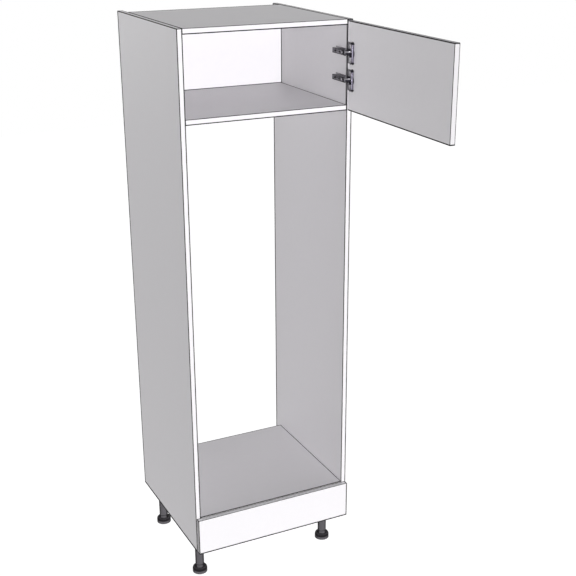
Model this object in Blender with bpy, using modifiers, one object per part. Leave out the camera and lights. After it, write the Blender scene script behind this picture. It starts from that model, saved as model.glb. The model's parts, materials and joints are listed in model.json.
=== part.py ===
# Oven housing unit: a tall kitchen cabinet with an open space for a built-in oven, a small
# cupboard with one side-hung door above it, a fixed front below it and four adjustable legs.
#
# X runs to the right, Y to the back and Z up, in metres. The origin is on the floor, on the
# centre line, in the plane of the closed door's face. The door is modelled open by 90 degrees.

import math

import bmesh
import bpy
from mathutils import Matrix, Vector

# Driving dimensions
CABINET_WIDTH = 0.600
SIDE_DEPTH = 0.560
SIDE_HEIGHT = 1.820
LEG_HEIGHT = 0.150
BOARD = 0.018
CUPBOARD_CLEAR_HEIGHT = 0.255
OVEN_SHELF_HEIGHT = 0.140

# Gap between pieces that touch or are glued
FIT = 0.0003
# How far a cutter runs past the face that it opens
OVERRUN = 0.001
# Points closer than this are one point
MERGE_DISTANCE = 0.00001

# How far each horizontal panel stops short of the sides' rear edges
TOP_SETBACK = 0.054
SHELF_SETBACK = 0.054
OVEN_SHELF_SETBACK = 0.041
BOTTOM_SETBACK = 0.041
EDGING = 0.001
EDGING_ARRIS = 0.0004

# Back of the upper cupboard, let into grooves
BACK_THICKNESS = 0.008
BACK_SHOULDER = 0.010
GROOVE_DEPTH = 0.006

# Fixed front below the oven, and the blocks that hold it
LOWER_FRONT_HEIGHT = 0.137
FRONT_REVEAL = 0.002
FRONT_ARRIS = 0.001
BLOCK_SIZE = 0.030
BLOCK_HEIGHT = 0.060
BLOCK_ARRIS = 0.001

# Door
DOOR_THICKNESS = 0.018
DOOR_GAP = 0.002
DOOR_TOP_REVEAL = 0.004
DOOR_BOTTOM_REVEAL = 0.001
OPEN_EDGE_GAP = 0.005

# Cup hinges. Places are given inward from the side's inner face and forward of the carcass.
HINGE_SPACING = 0.086
ARM_REAR = 0.076
ARM_REAR_CHAMFER = 0.004
ARM_REAR_RADIUS = 0.004
ARM_HALF_HEIGHT = 0.008
ARM_WALL = 0.0018
ARM_CHEEK_FOOT = 0.005
ARM_NECK_BACK = 0.012
ARM_SLOT_BACK = 0.008
ARM_EYE_RADIUS = 0.0032
OUTER_PIN_INWARD = 0.014
OUTER_PIN_FORWARD = 0.0076
INNER_PIN_INWARD = 0.0064
INNER_PIN_FORWARD = 0.0044
PIN_RADIUS = 0.0013
PIN_HEAD_RADIUS = 0.0023
PIN_HEAD = 0.0006

# Links. A cup pin's setback is measured along the door from its hinge edge.
OUTER_CUP_PIN_SETBACK = 0.0112
INNER_CUP_PIN_SETBACK = 0.0097
OUTER_LINK_EYES = (0.0026, 0.0022)
INNER_LINK_EYES = (0.0023, 0.0019)
OUTER_LINK_SAG = 0.0027
INNER_LINK_SAG = 0.0024
LINK_THICKNESS = 0.0048
CUP_PIN_RADIUS = 0.0012
CUP_PIN_REACH = 0.0018

# Cup and its flange
CUP_DIAMETER = 0.035
CUP_DEPTH = 0.0115
CUP_WALL = 0.0009
CUP_SETBACK = 0.0215
FLANGE_RADIUS = 0.018
FLANGE_THICKNESS = 0.0009
FLANGE_HEIGHT = 0.068
LOBE_HALF_WIDTH = 0.00975
RIM_LIP = 0.00015
CUP_SCREW_SPACING = 0.048
CUP_SCREW_OFFSET = 0.006
EAR_NEAR = 0.007
EAR_FAR = 0.014
EAR_TOP = 0.0006
EAR_THICKNESS = 0.0018
RELIEF_DEPTH = 0.0065
RELIEF_LENGTH = 0.004

# Raised cover on the flange, open in the middle for the arm's nose and the links
COVER_TOP = 0.0082
COVER_ARRIS = 0.0006
COVER_SLOT_HALF = 0.0125
COVER_WALL = 0.002
COVER_WELL_DEPTH = 0.0028

# Mounting plate, with both screws in line under the arm
PLATE_SCREW_BACK = 0.037
PLATE_SCREW_SPACING = 0.032
PLATE_FRONT = 0.010
PLATE_REAR = 0.0755
PLATE_HEIGHT = 0.024
PLATE_THICKNESS = 0.0022
PLATE_RAIL_FRONT = 0.030
PLATE_RAIL_REAR = 0.075
PLATE_ARRIS = 0.0005

# Hinge screws
SCREW_HEAD_RADIUS = 0.0036
SCREW_HEAD = 0.0018
SCREW_SHANK_RADIUS = 0.0018
SCREW_LENGTH = 0.011
ADJUSTER_HEAD_RADIUS = 0.003
ADJUSTER_HEAD = 0.0014
ADJUSTER_SHANK_RADIUS = 0.002
ADJUSTER_LENGTH = 0.008
DEPTH_SCREW_BACK = 0.053
SIDE_SCREW_BACK = 0.0245

# Legs
LEG_INSET = 0.045
FRONT_LEG_BACK = 0.100
REAR_LEG_SETBACK = 0.076
SOCKET_RADIUS = 0.030
SOCKET_FLANGE = 0.0035
SOCKET_FLOOR = 0.005
SOCKET_COLLAR_RADIUS = 0.0195
SOCKET_COLLAR = 0.020
TUBE_RADIUS = 0.016
TUBE_WALL = 0.003
TUBE_NUT = 0.012
FOOT_RADIUS = 0.027
FOOT_RIM = 0.014
FOOT_CHAMFER = 0.001
FOOT_DOME_TOP_RADIUS = 0.0193
FOOT_HEIGHT = 0.0235
FOOT_FLOOR = 0.009
FOOT_CLEARANCE = 0.0007
FOOT_TRAVEL_UP = 0.010
STEM_RADIUS = 0.005
STEM_LENGTH = 0.066
STEM_CHAMFER = 0.001

# Facets of round pieces
FINE_STEPS = 32
MEDIUM_STEPS = 20
SMALL_STEPS = 10
DOME_STEPS = 4

# Planes and levels that follow from the sizes above
SIDE_OUTER = CABINET_WIDTH / 2
SIDE_INNER = SIDE_OUTER - BOARD
CARCASS_FRONT = DOOR_THICKNESS + DOOR_GAP
BOARD_FRONT = CARCASS_FRONT + EDGING + FIT
CARCASS_BOTTOM = LEG_HEIGHT
CARCASS_TOP = CARCASS_BOTTOM + SIDE_HEIGHT
TOP_UNDERSIDE = CARCASS_TOP - BOARD
SHELF_TOP = TOP_UNDERSIDE - CUPBOARD_CLEAR_HEIGHT
SHELF_UNDERSIDE = SHELF_TOP - BOARD
OVEN_SHELF_TOP = CARCASS_BOTTOM + OVEN_SHELF_HEIGHT
OVEN_SHELF_UNDERSIDE = OVEN_SHELF_TOP - BOARD
CARCASS_REAR = CARCASS_FRONT + SIDE_DEPTH
BACK_REAR = CARCASS_REAR - TOP_SETBACK - BACK_SHOULDER
BACK_FRONT = BACK_REAR - BACK_THICKNESS

DOOR_WIDTH = CABINET_WIDTH - 2 * FRONT_REVEAL
DOOR_BOTTOM = SHELF_UNDERSIDE + DOOR_BOTTOM_REVEAL
DOOR_TOP = CARCASS_TOP - DOOR_TOP_REVEAL
DOOR_MIDDLE = (DOOR_BOTTOM + DOOR_TOP) / 2
HINGE_LEVELS = {
    "upper_hinge": DOOR_MIDDLE + HINGE_SPACING / 2,
    "lower_hinge": DOOR_MIDDLE - HINGE_SPACING / 2,
}

ARM_TOP = OUTER_PIN_INWARD + ARM_EYE_RADIUS
CHANNEL_HALF_HEIGHT = ARM_HALF_HEIGHT - ARM_WALL
CUP_RADIUS = CUP_DIAMETER / 2
CUP_BORE_RADIUS = CUP_RADIUS - CUP_WALL
FLANGE_TOP = FIT + FLANGE_THICKNESS
LOBE_CENTRE = FLANGE_HEIGHT / 2 - LOBE_HALF_WIDTH
COVER_UNDERSIDE = FLANGE_TOP + RIM_LIP + FIT
CUP_PIN_END = FIT + LINK_THICKNESS + CUP_PIN_REACH
EAR_FACE = CUP_PIN_END + FIT
TUBE_BOTTOM = FOOT_FLOOR + FOOT_TRAVEL_UP + FIT

PARTS = "oven_housing_unit"
CUTTERS = "cutters"


def clear_scene():
    for scene_object in list(bpy.data.objects):
        bpy.data.objects.remove(scene_object, do_unlink=True)


def add_collection(name):
    collection = bpy.data.collections.new(name)
    bpy.context.scene.collection.children.link(collection)
    return collection


def add_material(name, colour, roughness, metallic=0.0):
    material = bpy.data.materials.new(name)
    material.use_nodes = True
    shader = material.node_tree.nodes["Principled BSDF"]
    shader.inputs["Base Color"].default_value = (*colour, 1.0)
    shader.inputs["Roughness"].default_value = roughness
    shader.inputs["Metallic"].default_value = metallic
    return material


def add_mesh_object(name, mesh, material):
    piece = bpy.data.objects.new(name, mesh)
    if material is None:
        piece.hide_render = True
        piece.display_type = "WIRE"
        bpy.data.collections[CUTTERS].objects.link(piece)
    else:
        mesh.materials.append(material)
        bpy.data.collections[PARTS].objects.link(piece)
    return piece


def add_bevel(piece, width, segments=2):
    bevel = piece.modifiers.new("arris", "BEVEL")
    bevel.width = width
    bevel.segments = segments
    bevel.limit_method = "ANGLE"


def add_box(name, low, high, material=None, arris=None):
    """A box between two corners, with its origin at its middle."""
    low, high = Vector(low), Vector(high)
    size = high - low
    mesh = bpy.data.meshes.new(name)
    shape = bmesh.new()
    bmesh.ops.create_cube(shape, size=1, matrix=Matrix.Diagonal((*size, 1)))
    shape.to_mesh(mesh)
    shape.free()
    box = add_mesh_object(name, mesh, material)
    box.location = (low + high) / 2
    if arris:
        add_bevel(box, arris)
    return box


def add_cylinder(name, radius, low, high, direction, material=None, steps=SMALL_STEPS):
    """A cylinder between two points that lie along the direction."""
    low, high = Vector(low), Vector(high)
    mesh = bpy.data.meshes.new(name)
    shape = bmesh.new()
    bmesh.ops.create_cone(
        shape,
        cap_ends=True,
        segments=steps,
        radius1=radius,
        radius2=radius,
        depth=(high - low).length,
    )
    shape.to_mesh(mesh)
    shape.free()
    cylinder = add_mesh_object(name, mesh, material)
    cylinder.location = (low + high) / 2
    cylinder.rotation_euler = Vector(direction).to_track_quat("Z", "Y").to_euler()
    smooth(cylinder)
    return cylinder


def smooth(piece):
    piece.data.shade_smooth()
    piece.data.set_sharp_from_angle(angle=math.radians(40))


def add_turned(name, profile, place, material, steps, closed=False, turn=(0, 0, 0)):
    """Turn a profile of (radius, height) points about the piece's own Z axis."""
    mesh = bpy.data.meshes.new(name)
    points = [(radius, 0, height) for radius, height in profile]
    edges = [(i, i + 1) for i in range(len(points) - 1)]
    if closed:
        edges.append((len(points) - 1, 0))
    mesh.from_pydata(points, edges, [])
    piece = add_mesh_object(name, mesh, material)
    piece.location = place
    piece.rotation_euler = turn
    screw = piece.modifiers.new("turn", "SCREW")
    screw.axis = "Z"
    screw.steps = steps
    screw.render_steps = steps
    screw.use_merge_vertices = True
    screw.merge_threshold = MERGE_DISTANCE
    screw.use_smooth_shade = True
    return piece


def circle(centre, radius, steps=SMALL_STEPS):
    return arc(centre, radius, 0, math.tau * (steps - 1) / steps, steps)


def arc(centre, radius, start, end, steps):
    angles = [start + (end - start) * i / (steps - 1) for i in range(steps)]
    return [Vector(centre) + radius * Vector((math.cos(a), math.sin(a))) for a in angles]


def add_flat(name, outlines, place, thickness, material, turn=(0, 0, 0)):
    """A flat piece from closed outlines in its own XY plane, as thick each way from it."""
    curve = bpy.data.curves.new(name, "CURVE")
    curve.dimensions = "2D"
    curve.fill_mode = "BOTH"
    curve.extrude = thickness / 2
    for outline in outlines:
        spline = curve.splines.new("POLY")
        spline.points.add(len(outline) - 1)
        for point, (x, y) in zip(spline.points, outline):
            point.co = (x, y, 0, 1)
        spline.use_cyclic_u = True
    guide = bpy.data.objects.new(name + "_outline", curve)
    guide.location = place
    guide.rotation_euler = turn
    bpy.data.collections[PARTS].objects.link(guide)
    bpy.context.view_layer.update()
    evaluated = guide.evaluated_get(bpy.context.evaluated_depsgraph_get())
    mesh = bpy.data.meshes.new_from_object(evaluated)
    mesh.materials.clear()
    shape = bmesh.new()
    shape.from_mesh(mesh)
    bmesh.ops.remove_doubles(shape, verts=shape.verts, dist=MERGE_DISTANCE)
    shape.to_mesh(mesh)
    shape.free()
    piece = add_mesh_object(name, mesh, material)
    piece.matrix_world = guide.matrix_world
    bpy.data.objects.remove(guide, do_unlink=True)
    smooth(piece)
    return piece


def combine(piece, other, operation):
    boolean = piece.modifiers.new(operation.lower(), "BOOLEAN")
    boolean.object = other
    boolean.operation = operation


def cut(piece, cutter):
    combine(piece, cutter, "DIFFERENCE")


def join(piece, other):
    combine(piece, other, "UNION")


def add_axis(name, place):
    """An empty on a joint's axis, which carries what turns or slides there."""
    axis = bpy.data.objects.new(name, None)
    axis.location = place
    bpy.data.collections[PARTS].objects.link(axis)
    return axis


def carry(axis, *pieces):
    for piece in pieces:
        piece.parent = axis
        piece.matrix_parent_inverse = Matrix.Translation(axis.location).inverted()


def make_carcass(board, edging):
    """The board panels, each set back behind its front edging, and the grooved-in back."""
    sides = {}
    for name, direction in (("left_side", -1), ("right_side", 1)):
        near, far = sorted((direction * SIDE_INNER, direction * SIDE_OUTER))
        sides[name] = add_box(
            name + "_panel",
            (near, BOARD_FRONT, CARCASS_BOTTOM),
            (far, CARCASS_REAR, CARCASS_TOP),
            board,
        )
        add_box(
            name + "_edging",
            (near, CARCASS_FRONT, CARCASS_BOTTOM),
            (far, CARCASS_FRONT + EDGING, CARCASS_TOP),
            edging,
            EDGING_ARRIS,
        )

    reach = SIDE_INNER - FIT
    levels = {}
    for name, underside, setback, edged in (
        ("top_panel", TOP_UNDERSIDE, TOP_SETBACK, True),
        ("fixed_shelf", SHELF_UNDERSIDE, SHELF_SETBACK, True),
        ("oven_shelf", OVEN_SHELF_UNDERSIDE, OVEN_SHELF_SETBACK, True),
        ("bottom_panel", CARCASS_BOTTOM, BOTTOM_SETBACK, False),
    ):
        levels[name] = add_box(
            name,
            (-reach, BOARD_FRONT, underside),
            (reach, CARCASS_REAR - setback, underside + BOARD),
            board,
        )
        if edged:
            add_box(
                name + "_edging",
                (-reach, CARCASS_FRONT, underside),
                (reach, CARCASS_FRONT + EDGING, underside + BOARD),
                edging,
                EDGING_ARRIS,
            )

    low = Vector((-SIDE_INNER - GROOVE_DEPTH, BACK_FRONT, SHELF_TOP - GROOVE_DEPTH))
    high = Vector((SIDE_INNER + GROOVE_DEPTH, BACK_REAR, TOP_UNDERSIDE + GROOVE_DEPTH))
    play = Vector((FIT, FIT, FIT))
    add_box("cupboard_back", low + play, high - play, board)
    groove = add_box("back_groove", low, high)
    for grooved in (sides["left_side"], sides["right_side"], levels["top_panel"], levels["fixed_shelf"]):
        cut(grooved, groove)
    return sides["right_side"]


def make_lower_front(board, timber):
    """The fixed front below the oven, and the two blocks behind it that join it to the sides."""
    half_width = SIDE_OUTER - FRONT_REVEAL
    rear = CARCASS_FRONT - FIT
    add_box(
        "lower_front_panel",
        (-half_width, rear - DOOR_THICKNESS, CARCASS_BOTTOM),
        (half_width, rear, CARCASS_BOTTOM + LOWER_FRONT_HEIGHT),
        board,
        FRONT_ARRIS,
    )
    block_bottom = CARCASS_BOTTOM + BOARD + FIT
    for name, direction in (("left", -1), ("right", 1)):
        outer = direction * (SIDE_INNER - FIT)
        inner = direction * (SIDE_INNER - FIT - BLOCK_SIZE)
        near, far = sorted((inner, outer))
        add_box(
            name + "_corner_block",
            (near, CARCASS_FRONT, block_bottom),
            (far, CARCASS_FRONT + BLOCK_SIZE, block_bottom + BLOCK_HEIGHT),
            timber,
            BLOCK_ARRIS,
        )


def hinge_point(inward, forward, height=0.0):
    """A point near the hinges, from the side's inner face and the carcass front."""
    return Vector((SIDE_INNER - inward, CARCASS_FRONT - forward, height))


def door_point(setback, depth, height=0.0):
    """A point on the open door, from its hinge edge and below its inner face."""
    return hinge_point(-depth, OPEN_EDGE_GAP + setback, height)


def door_axis():
    """The centre of the quarter turn that takes the closed door to where it stands open."""
    overlay = BOARD - FRONT_REVEAL
    forward = (DOOR_GAP + OPEN_EDGE_GAP + overlay) / 2
    inward = (DOOR_GAP - OPEN_EDGE_GAP - overlay) / 2
    return inward, forward


def cup_pin_depth(pin_inward, pin_forward, setback):
    """The depth in the door that gives a link one length with the door closed and open."""
    closed_inward = pin_inward + BOARD - FRONT_REVEAL
    closed_forward = pin_forward - DOOR_GAP
    open_forward = pin_forward - OPEN_EDGE_GAP
    squares = closed_inward**2 - pin_inward**2 + closed_forward**2 - open_forward**2
    return (squares - 2 * setback * (closed_inward - open_forward)) / (
        2 * (pin_inward + closed_forward)
    )


def make_door(finish):
    axis_inward, axis_forward = door_axis()
    axis = add_axis("door_axis", hinge_point(axis_inward, axis_forward, DOOR_MIDDLE))
    door = add_box(
        "door_panel",
        door_point(DOOR_WIDTH, 0, DOOR_BOTTOM),
        door_point(0, DOOR_THICKNESS, DOOR_TOP),
        finish,
        FRONT_ARRIS,
    )
    carry(axis, door)
    return axis, door


def cup_flange_outline():
    """A disc with a round-ended lobe above and below it, offset to the screws."""
    near, far = LOBE_HALF_WIDTH - CUP_SCREW_OFFSET, -LOBE_HALF_WIDTH - CUP_SCREW_OFFSET
    near_angle = math.asin(near / FLANGE_RADIUS)
    far_angle = math.asin(far / FLANGE_RADIUS)
    quarter = math.pi / 2
    outline = arc((0, 0), FLANGE_RADIUS, near_angle, math.pi - near_angle, MEDIUM_STEPS)
    outline += arc(
        (-LOBE_CENTRE, -CUP_SCREW_OFFSET), LOBE_HALF_WIDTH, quarter, 3 * quarter, SMALL_STEPS
    )
    outline += arc((0, 0), FLANGE_RADIUS, far_angle - math.pi - 2 * far_angle, far_angle, SMALL_STEPS)
    outline += arc(
        (LOBE_CENTRE, -CUP_SCREW_OFFSET), LOBE_HALF_WIDTH, -quarter, quarter, SMALL_STEPS
    )
    return outline


def make_cup(name, level, steel, door_parts, door):
    """The cup let into the door, with its flange, its two screws and the ears for the link pins."""
    out_of_door = (0, -math.pi / 2, 0)
    place = door_point(CUP_SETBACK, 0, level)
    rim = FLANGE_TOP + RIM_LIP
    cup = add_turned(
        name + "_cup",
        [
            (0, CUP_WALL - CUP_DEPTH),
            (CUP_BORE_RADIUS, CUP_WALL - CUP_DEPTH),
            (CUP_BORE_RADIUS, rim),
            (CUP_RADIUS, rim),
            (CUP_RADIUS, -CUP_DEPTH),
            (0, -CUP_DEPTH),
        ],
        place,
        steel,
        FINE_STEPS,
        turn=out_of_door,
    )
    screw_height = CUP_SCREW_SPACING / 2
    holes = [
        circle((side * screw_height, -CUP_SCREW_OFFSET), SCREW_SHANK_RADIUS + FIT)
        for side in (-1, 1)
    ]
    mid_wall = circle((0, 0), CUP_RADIUS - CUP_WALL / 2, FINE_STEPS)
    flange = add_flat(
        name + "_cup_flange",
        [cup_flange_outline(), mid_wall, *holes],
        door_point(CUP_SETBACK, -FIT - FLANGE_THICKNESS / 2, level),
        FLANGE_THICKNESS,
        None,
        turn=out_of_door,
    )
    join(cup, flange)
    door_parts += [cup, flange]
    for suffix, side in (("top", 1), ("bottom", -1)):
        near, far = sorted((level + side * EAR_FACE, level + side * (EAR_FACE + EAR_THICKNESS)))
        ear = add_box(
            name + "_cup_ear_" + suffix,
            door_point(EAR_FAR, EAR_TOP, near),
            door_point(EAR_NEAR, CUP_DEPTH - CUP_WALL / 2, far),
        )
        join(cup, ear)
        door_parts.append(ear)
    relief_start = CUP_SETBACK - FLANGE_RADIUS - OVERRUN
    relief = add_box(
        name + "_link_relief",
        door_point(relief_start + OVERRUN + RELIEF_LENGTH, -rim - OVERRUN, level - EAR_FACE),
        door_point(relief_start, RELIEF_DEPTH, level + EAR_FACE),
    )
    cut(cup, relief)
    recess = add_cylinder(
        name + "_cup_recess",
        CUP_RADIUS + FIT,
        door_point(CUP_SETBACK, -OVERRUN, level),
        door_point(CUP_SETBACK, CUP_DEPTH + FIT, level),
        (1, 0, 0),
        steps=FINE_STEPS,
    )
    cut(door, recess)
    door_parts += [relief, recess]
    for suffix, side in (("top", 1), ("bottom", -1)):
        height = level + side * screw_height
        setback = CUP_SETBACK + CUP_SCREW_OFFSET
        seat = door_point(setback, -FLANGE_TOP - FIT, height)
        screw = add_screw(name + "_cup_screw_" + suffix, seat, (1, 0, 0), steel)
        pilot = add_pilot(name + "_cup_pilot_" + suffix, seat, (1, 0, 0))
        cut(door, pilot)
        door_parts += [screw, pilot]


def make_cup_cover(name, level, steel):
    """The raised cover on the flange, with a slot in its middle and a well over each cup screw."""
    out_of_door = (0, -math.pi / 2, 0)
    quarter = math.pi / 2
    middle = -CUP_SCREW_OFFSET
    outline = arc((-LOBE_CENTRE, middle), LOBE_HALF_WIDTH, quarter, 3 * quarter, MEDIUM_STEPS)
    outline += arc((LOBE_CENTRE, middle), LOBE_HALF_WIDTH, -quarter, quarter, MEDIUM_STEPS)
    cover = add_flat(
        name + "_cup_cover",
        [outline],
        door_point(CUP_SETBACK, -(COVER_UNDERSIDE + COVER_TOP) / 2, level),
        COVER_TOP - COVER_UNDERSIDE,
        steel,
        turn=out_of_door,
    )
    add_bevel(cover, COVER_ARRIS)
    centre = CUP_SETBACK + CUP_SCREW_OFFSET
    far = centre + LOBE_HALF_WIDTH - COVER_WALL
    slot = add_box(
        name + "_cover_slot",
        door_point(far, -COVER_TOP - OVERRUN, level - COVER_SLOT_HALF),
        door_point(centre - LOBE_HALF_WIDTH - OVERRUN, 0, level + COVER_SLOT_HALF),
    )
    cut(cover, slot)
    pieces = [cover, slot]
    for suffix, side in (("top", 1), ("bottom", -1)):
        height = level + side * CUP_SCREW_SPACING / 2
        well = add_cylinder(
            name + "_cover_well_" + suffix,
            SCREW_HEAD_RADIUS + FIT,
            door_point(centre, -COVER_UNDERSIDE - COVER_WELL_DEPTH, height),
            door_point(centre, 0, height),
            (1, 0, 0),
        )
        cut(cover, well)
        pieces.append(well)
    return pieces


def add_screw(name, seat, direction, steel):
    """A pan-head screw whose head rests on the seat and whose shank runs along the direction."""
    return add_headed_pin(
        name, seat, direction, steel, SCREW_HEAD_RADIUS, SCREW_HEAD, SCREW_SHANK_RADIUS, SCREW_LENGTH
    )


def add_headed_pin(name, seat, direction, steel, head_radius, head, shank_radius, length):
    chamfer = head / 3
    return add_turned(
        name,
        [
            (0, head),
            (head_radius - chamfer, head),
            (head_radius, head - chamfer),
            (head_radius, 0),
            (shank_radius, 0),
            (shank_radius, -length),
            (0, -length),
        ],
        seat,
        steel,
        SMALL_STEPS,
        turn=(-Vector(direction)).to_track_quat("Z", "Y").to_euler(),
    )


def add_pilot(name, seat, direction):
    """The hole that a screw's shank runs in, a little wider and deeper than the shank."""
    along = Vector(direction)
    return add_cylinder(
        name,
        SCREW_SHANK_RADIUS + FIT,
        seat - along * OVERRUN,
        seat + along * (SCREW_LENGTH + FIT),
        direction,
    )


def arm_outline(outer_pin, inner_pin):
    """The arm from the side: a long body, and a nose that runs round the two link pins."""
    down = (inner_pin - outer_pin).normalized()
    outward = Vector((down.y, -down.x))
    lean = math.atan2(outward.y, outward.x)
    outline = [
        hinge_point(ARM_CHEEK_FOOT, -ARM_NECK_BACK).xy,
        hinge_point(ARM_CHEEK_FOOT, -ARM_REAR).xy,
        hinge_point(ARM_TOP - ARM_REAR_CHAMFER, -ARM_REAR).xy,
        hinge_point(ARM_TOP, ARM_REAR_CHAMFER - ARM_REAR).xy,
    ]
    outline += arc(outer_pin, ARM_EYE_RADIUS, math.pi, lean + math.tau, SMALL_STEPS)
    outline += arc(inner_pin, ARM_EYE_RADIUS, lean, math.radians(60), SMALL_STEPS)
    return outline


def link_outline(start, end, start_eye, end_eye, sag):
    """A bar of two round eyes, bowed to the right of its length by the sag at its middle."""
    along = end - start
    length = along.length
    direction = along / length
    side = Vector((direction.y, -direction.x))
    edges = {1: [], -1: []}
    for i in range(SMALL_STEPS):
        share = i / (SMALL_STEPS - 1)
        half = start_eye + (end_eye - start_eye) * share
        bow = 4 * sag * share * (1 - share)
        slope = 4 * sag * (1 - 2 * share) / length
        tangent = (direction + side * slope).normalized()
        normal = Vector((-tangent.y, tangent.x))
        centre = start + along * share + side * bow
        for edge in edges:
            edges[edge].append(centre + normal * half * edge)
    first = edges[-1][0] - start
    last = edges[1][-1] - end
    first_angle = math.atan2(first.y, first.x)
    last_angle = math.atan2(last.y, last.x)
    start_cap = arc(start, start_eye, first_angle, first_angle - math.pi, SMALL_STEPS)
    end_cap = arc(end, end_eye, last_angle, last_angle - math.pi, SMALL_STEPS)
    return edges[1][1:-1] + end_cap + edges[-1][-2:0:-1] + start_cap


def make_links(name, level, steel):
    """The two links between the arm and the cup, each with its own pin in the cup."""
    for kind, pin, setback, eyes, sag, side in (
        ("outer", (OUTER_PIN_INWARD, OUTER_PIN_FORWARD), OUTER_CUP_PIN_SETBACK,
         OUTER_LINK_EYES, OUTER_LINK_SAG, 1),
        ("inner", (INNER_PIN_INWARD, INNER_PIN_FORWARD), INNER_CUP_PIN_SETBACK,
         INNER_LINK_EYES, INNER_LINK_SAG, -1),
    ):
        start = hinge_point(*pin).xy
        end = door_point(setback, cup_pin_depth(*pin, setback)).xy
        middle = level + side * (LINK_THICKNESS / 2 + FIT)
        outlines = [link_outline(start, end, *eyes, sag), circle(start, PIN_RADIUS + FIT)]
        link = add_flat(f"{name}_{kind}_link", outlines, (0, 0, middle), LINK_THICKNESS, steel)
        cup_pin = add_cylinder(
            f"{name}_{kind}_cup_pin",
            CUP_PIN_RADIUS,
            (*end, level + side * (FIT + LINK_THICKNESS / 2)),
            (*end, level + side * CUP_PIN_END),
            (0, 0, 1),
        )
        join(link, cup_pin)
        axis = add_axis(f"{name}_{kind}_axis", (*start, level))
        carry(axis, link, cup_pin)

        reach = ARM_HALF_HEIGHT + FIT
        add_turned(
            f"{name}_{kind}_pin",
            [
                (0, reach + PIN_HEAD),
                (PIN_HEAD_RADIUS, reach + PIN_HEAD),
                (PIN_HEAD_RADIUS, reach),
                (PIN_RADIUS, reach),
                (PIN_RADIUS, -reach),
                (PIN_HEAD_RADIUS, -reach),
                (PIN_HEAD_RADIUS, -reach - PIN_HEAD),
                (0, -reach - PIN_HEAD),
            ],
            (*start, level),
            steel,
            SMALL_STEPS,
        )


def make_arm(name, level, steel):
    """The channel-shaped arm, open at its nose for the links, and its two adjusting screws."""
    outer_pin = hinge_point(OUTER_PIN_INWARD, OUTER_PIN_FORWARD).xy
    inner_pin = hinge_point(INNER_PIN_INWARD, INNER_PIN_FORWARD).xy
    holes = [circle(pin, PIN_RADIUS + FIT) for pin in (outer_pin, inner_pin)]
    arm = add_flat(
        name + "_arm",
        [arm_outline(outer_pin, inner_pin), *holes],
        (0, 0, level),
        2 * ARM_HALF_HEIGHT,
        steel,
    )
    nose = OUTER_PIN_FORWARD + ARM_EYE_RADIUS + OVERRUN
    slot = add_box(
        name + "_nose_slot",
        hinge_point(ARM_TOP + OVERRUN, nose, level - CHANNEL_HALF_HEIGHT),
        hinge_point(-OVERRUN, -ARM_SLOT_BACK, level + CHANNEL_HALF_HEIGHT),
    )
    channel = add_box(
        name + "_channel",
        hinge_point(ARM_TOP - ARM_WALL, OVERRUN - ARM_SLOT_BACK, level - CHANNEL_HALF_HEIGHT),
        hinge_point(-OVERRUN, -ARM_REAR - OVERRUN, level + CHANNEL_HALF_HEIGHT),
    )
    cut(arm, slot)
    cut(arm, channel)
    combine(arm, add_flat(
        name + "_arm_plan",
        [arm_plan(nose)],
        hinge_point(0, 0, level),
        4 * ARM_TOP,
        None,
        turn=(0, -math.pi / 2, 0),
    ), "INTERSECT")
    for suffix, back in (("depth", DEPTH_SCREW_BACK), ("side", SIDE_SCREW_BACK)):
        seat = hinge_point(ARM_TOP + FIT, -back, level)
        add_headed_pin(
            f"{name}_{suffix}_screw",
            seat,
            (1, 0, 0),
            steel,
            ADJUSTER_HEAD_RADIUS,
            ADJUSTER_HEAD,
            ADJUSTER_SHANK_RADIUS,
            ADJUSTER_LENGTH,
        )
        hole = adjuster_hole(f"{name}_{suffix}_arm_hole", seat)
        cut(arm, hole)


def arm_plan(nose):
    """The arm as seen from inside the cabinet: square at the nose, with two round rear corners."""
    corner_back = ARM_REAR - ARM_REAR_RADIUS
    corner_height = ARM_HALF_HEIGHT + FIT - ARM_REAR_RADIUS
    quarter = math.pi / 2
    plan = [Vector((-ARM_HALF_HEIGHT - FIT, -nose)), Vector((ARM_HALF_HEIGHT + FIT, -nose))]
    plan += arc((corner_height, corner_back), ARM_REAR_RADIUS, 0, quarter, SMALL_STEPS)
    plan += arc((-corner_height, corner_back), ARM_REAR_RADIUS, quarter, 2 * quarter, SMALL_STEPS)
    return plan


def adjuster_hole(name, seat):
    along = Vector((1, 0, 0))
    return add_cylinder(
        name,
        ADJUSTER_SHANK_RADIUS + FIT,
        seat - along * OVERRUN,
        seat + along * (ADJUSTER_LENGTH + FIT),
        along,
    )


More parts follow.
